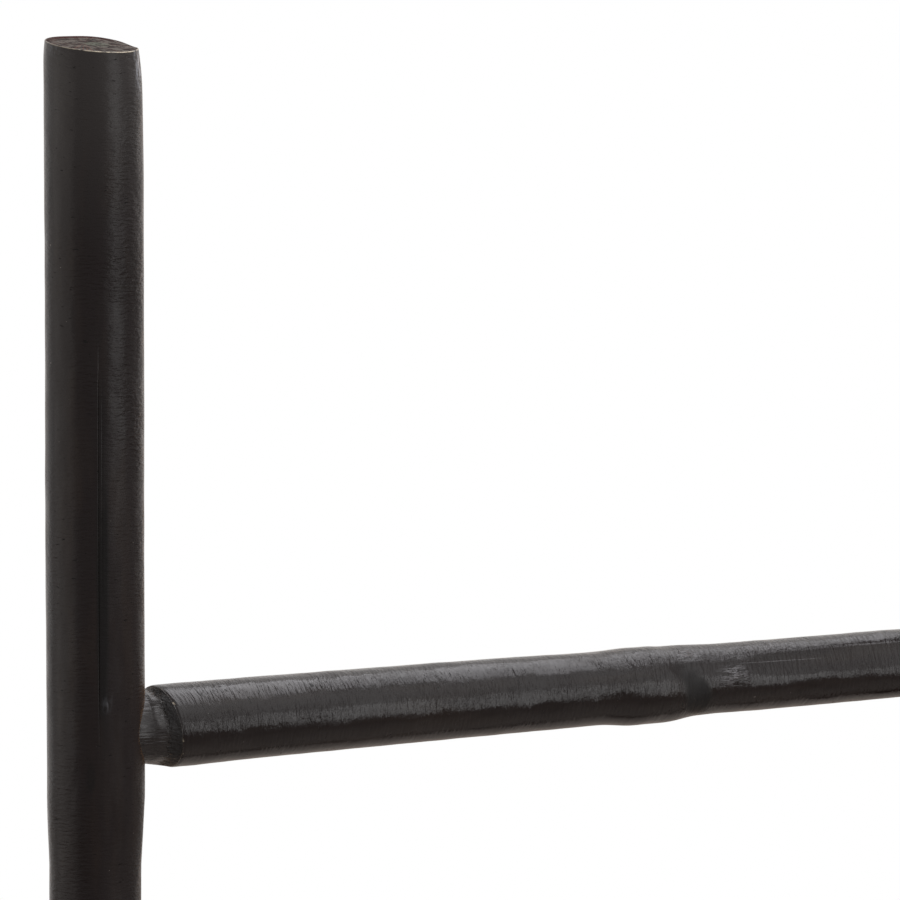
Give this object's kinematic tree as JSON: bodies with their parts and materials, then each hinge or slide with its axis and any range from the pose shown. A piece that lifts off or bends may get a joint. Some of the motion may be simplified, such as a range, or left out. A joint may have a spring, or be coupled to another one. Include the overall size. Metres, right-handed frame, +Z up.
{
  "type": "blanket ladder",
  "caption": "Tall leaning blanket ladder of black-stained natural wood poles, with round rungs tenoned into two upright rails.",
  "frame": {"origin": "on the floor, midway between the rails' feet", "axes": "+Z up along the rails, +X across from the left rail to the right, +Y to the back, towards the wall it leans on"},
  "size_m": [0.5072, 0.0447, 1.7031],
  "materials": {
    "rail_wood": "black stain, satin, over round natural pole",
    "rung_wood": "black stain, satin, over round natural pole, necks shaved by hand",
    "peg_wood": "black stain, matt end grain"
  },
  "bodies": {
    "root": {"rail_left": "rail_wood", "rail_right": "rail_wood", "rung_top": "rung_wood", "rung_upper": "rung_wood", "rung_middle": "rung_wood", "rung_lower": "rung_wood", "rung_bottom": "rung_wood", "tenon_pegs": "peg_wood"}
  },
  "joints": []
}
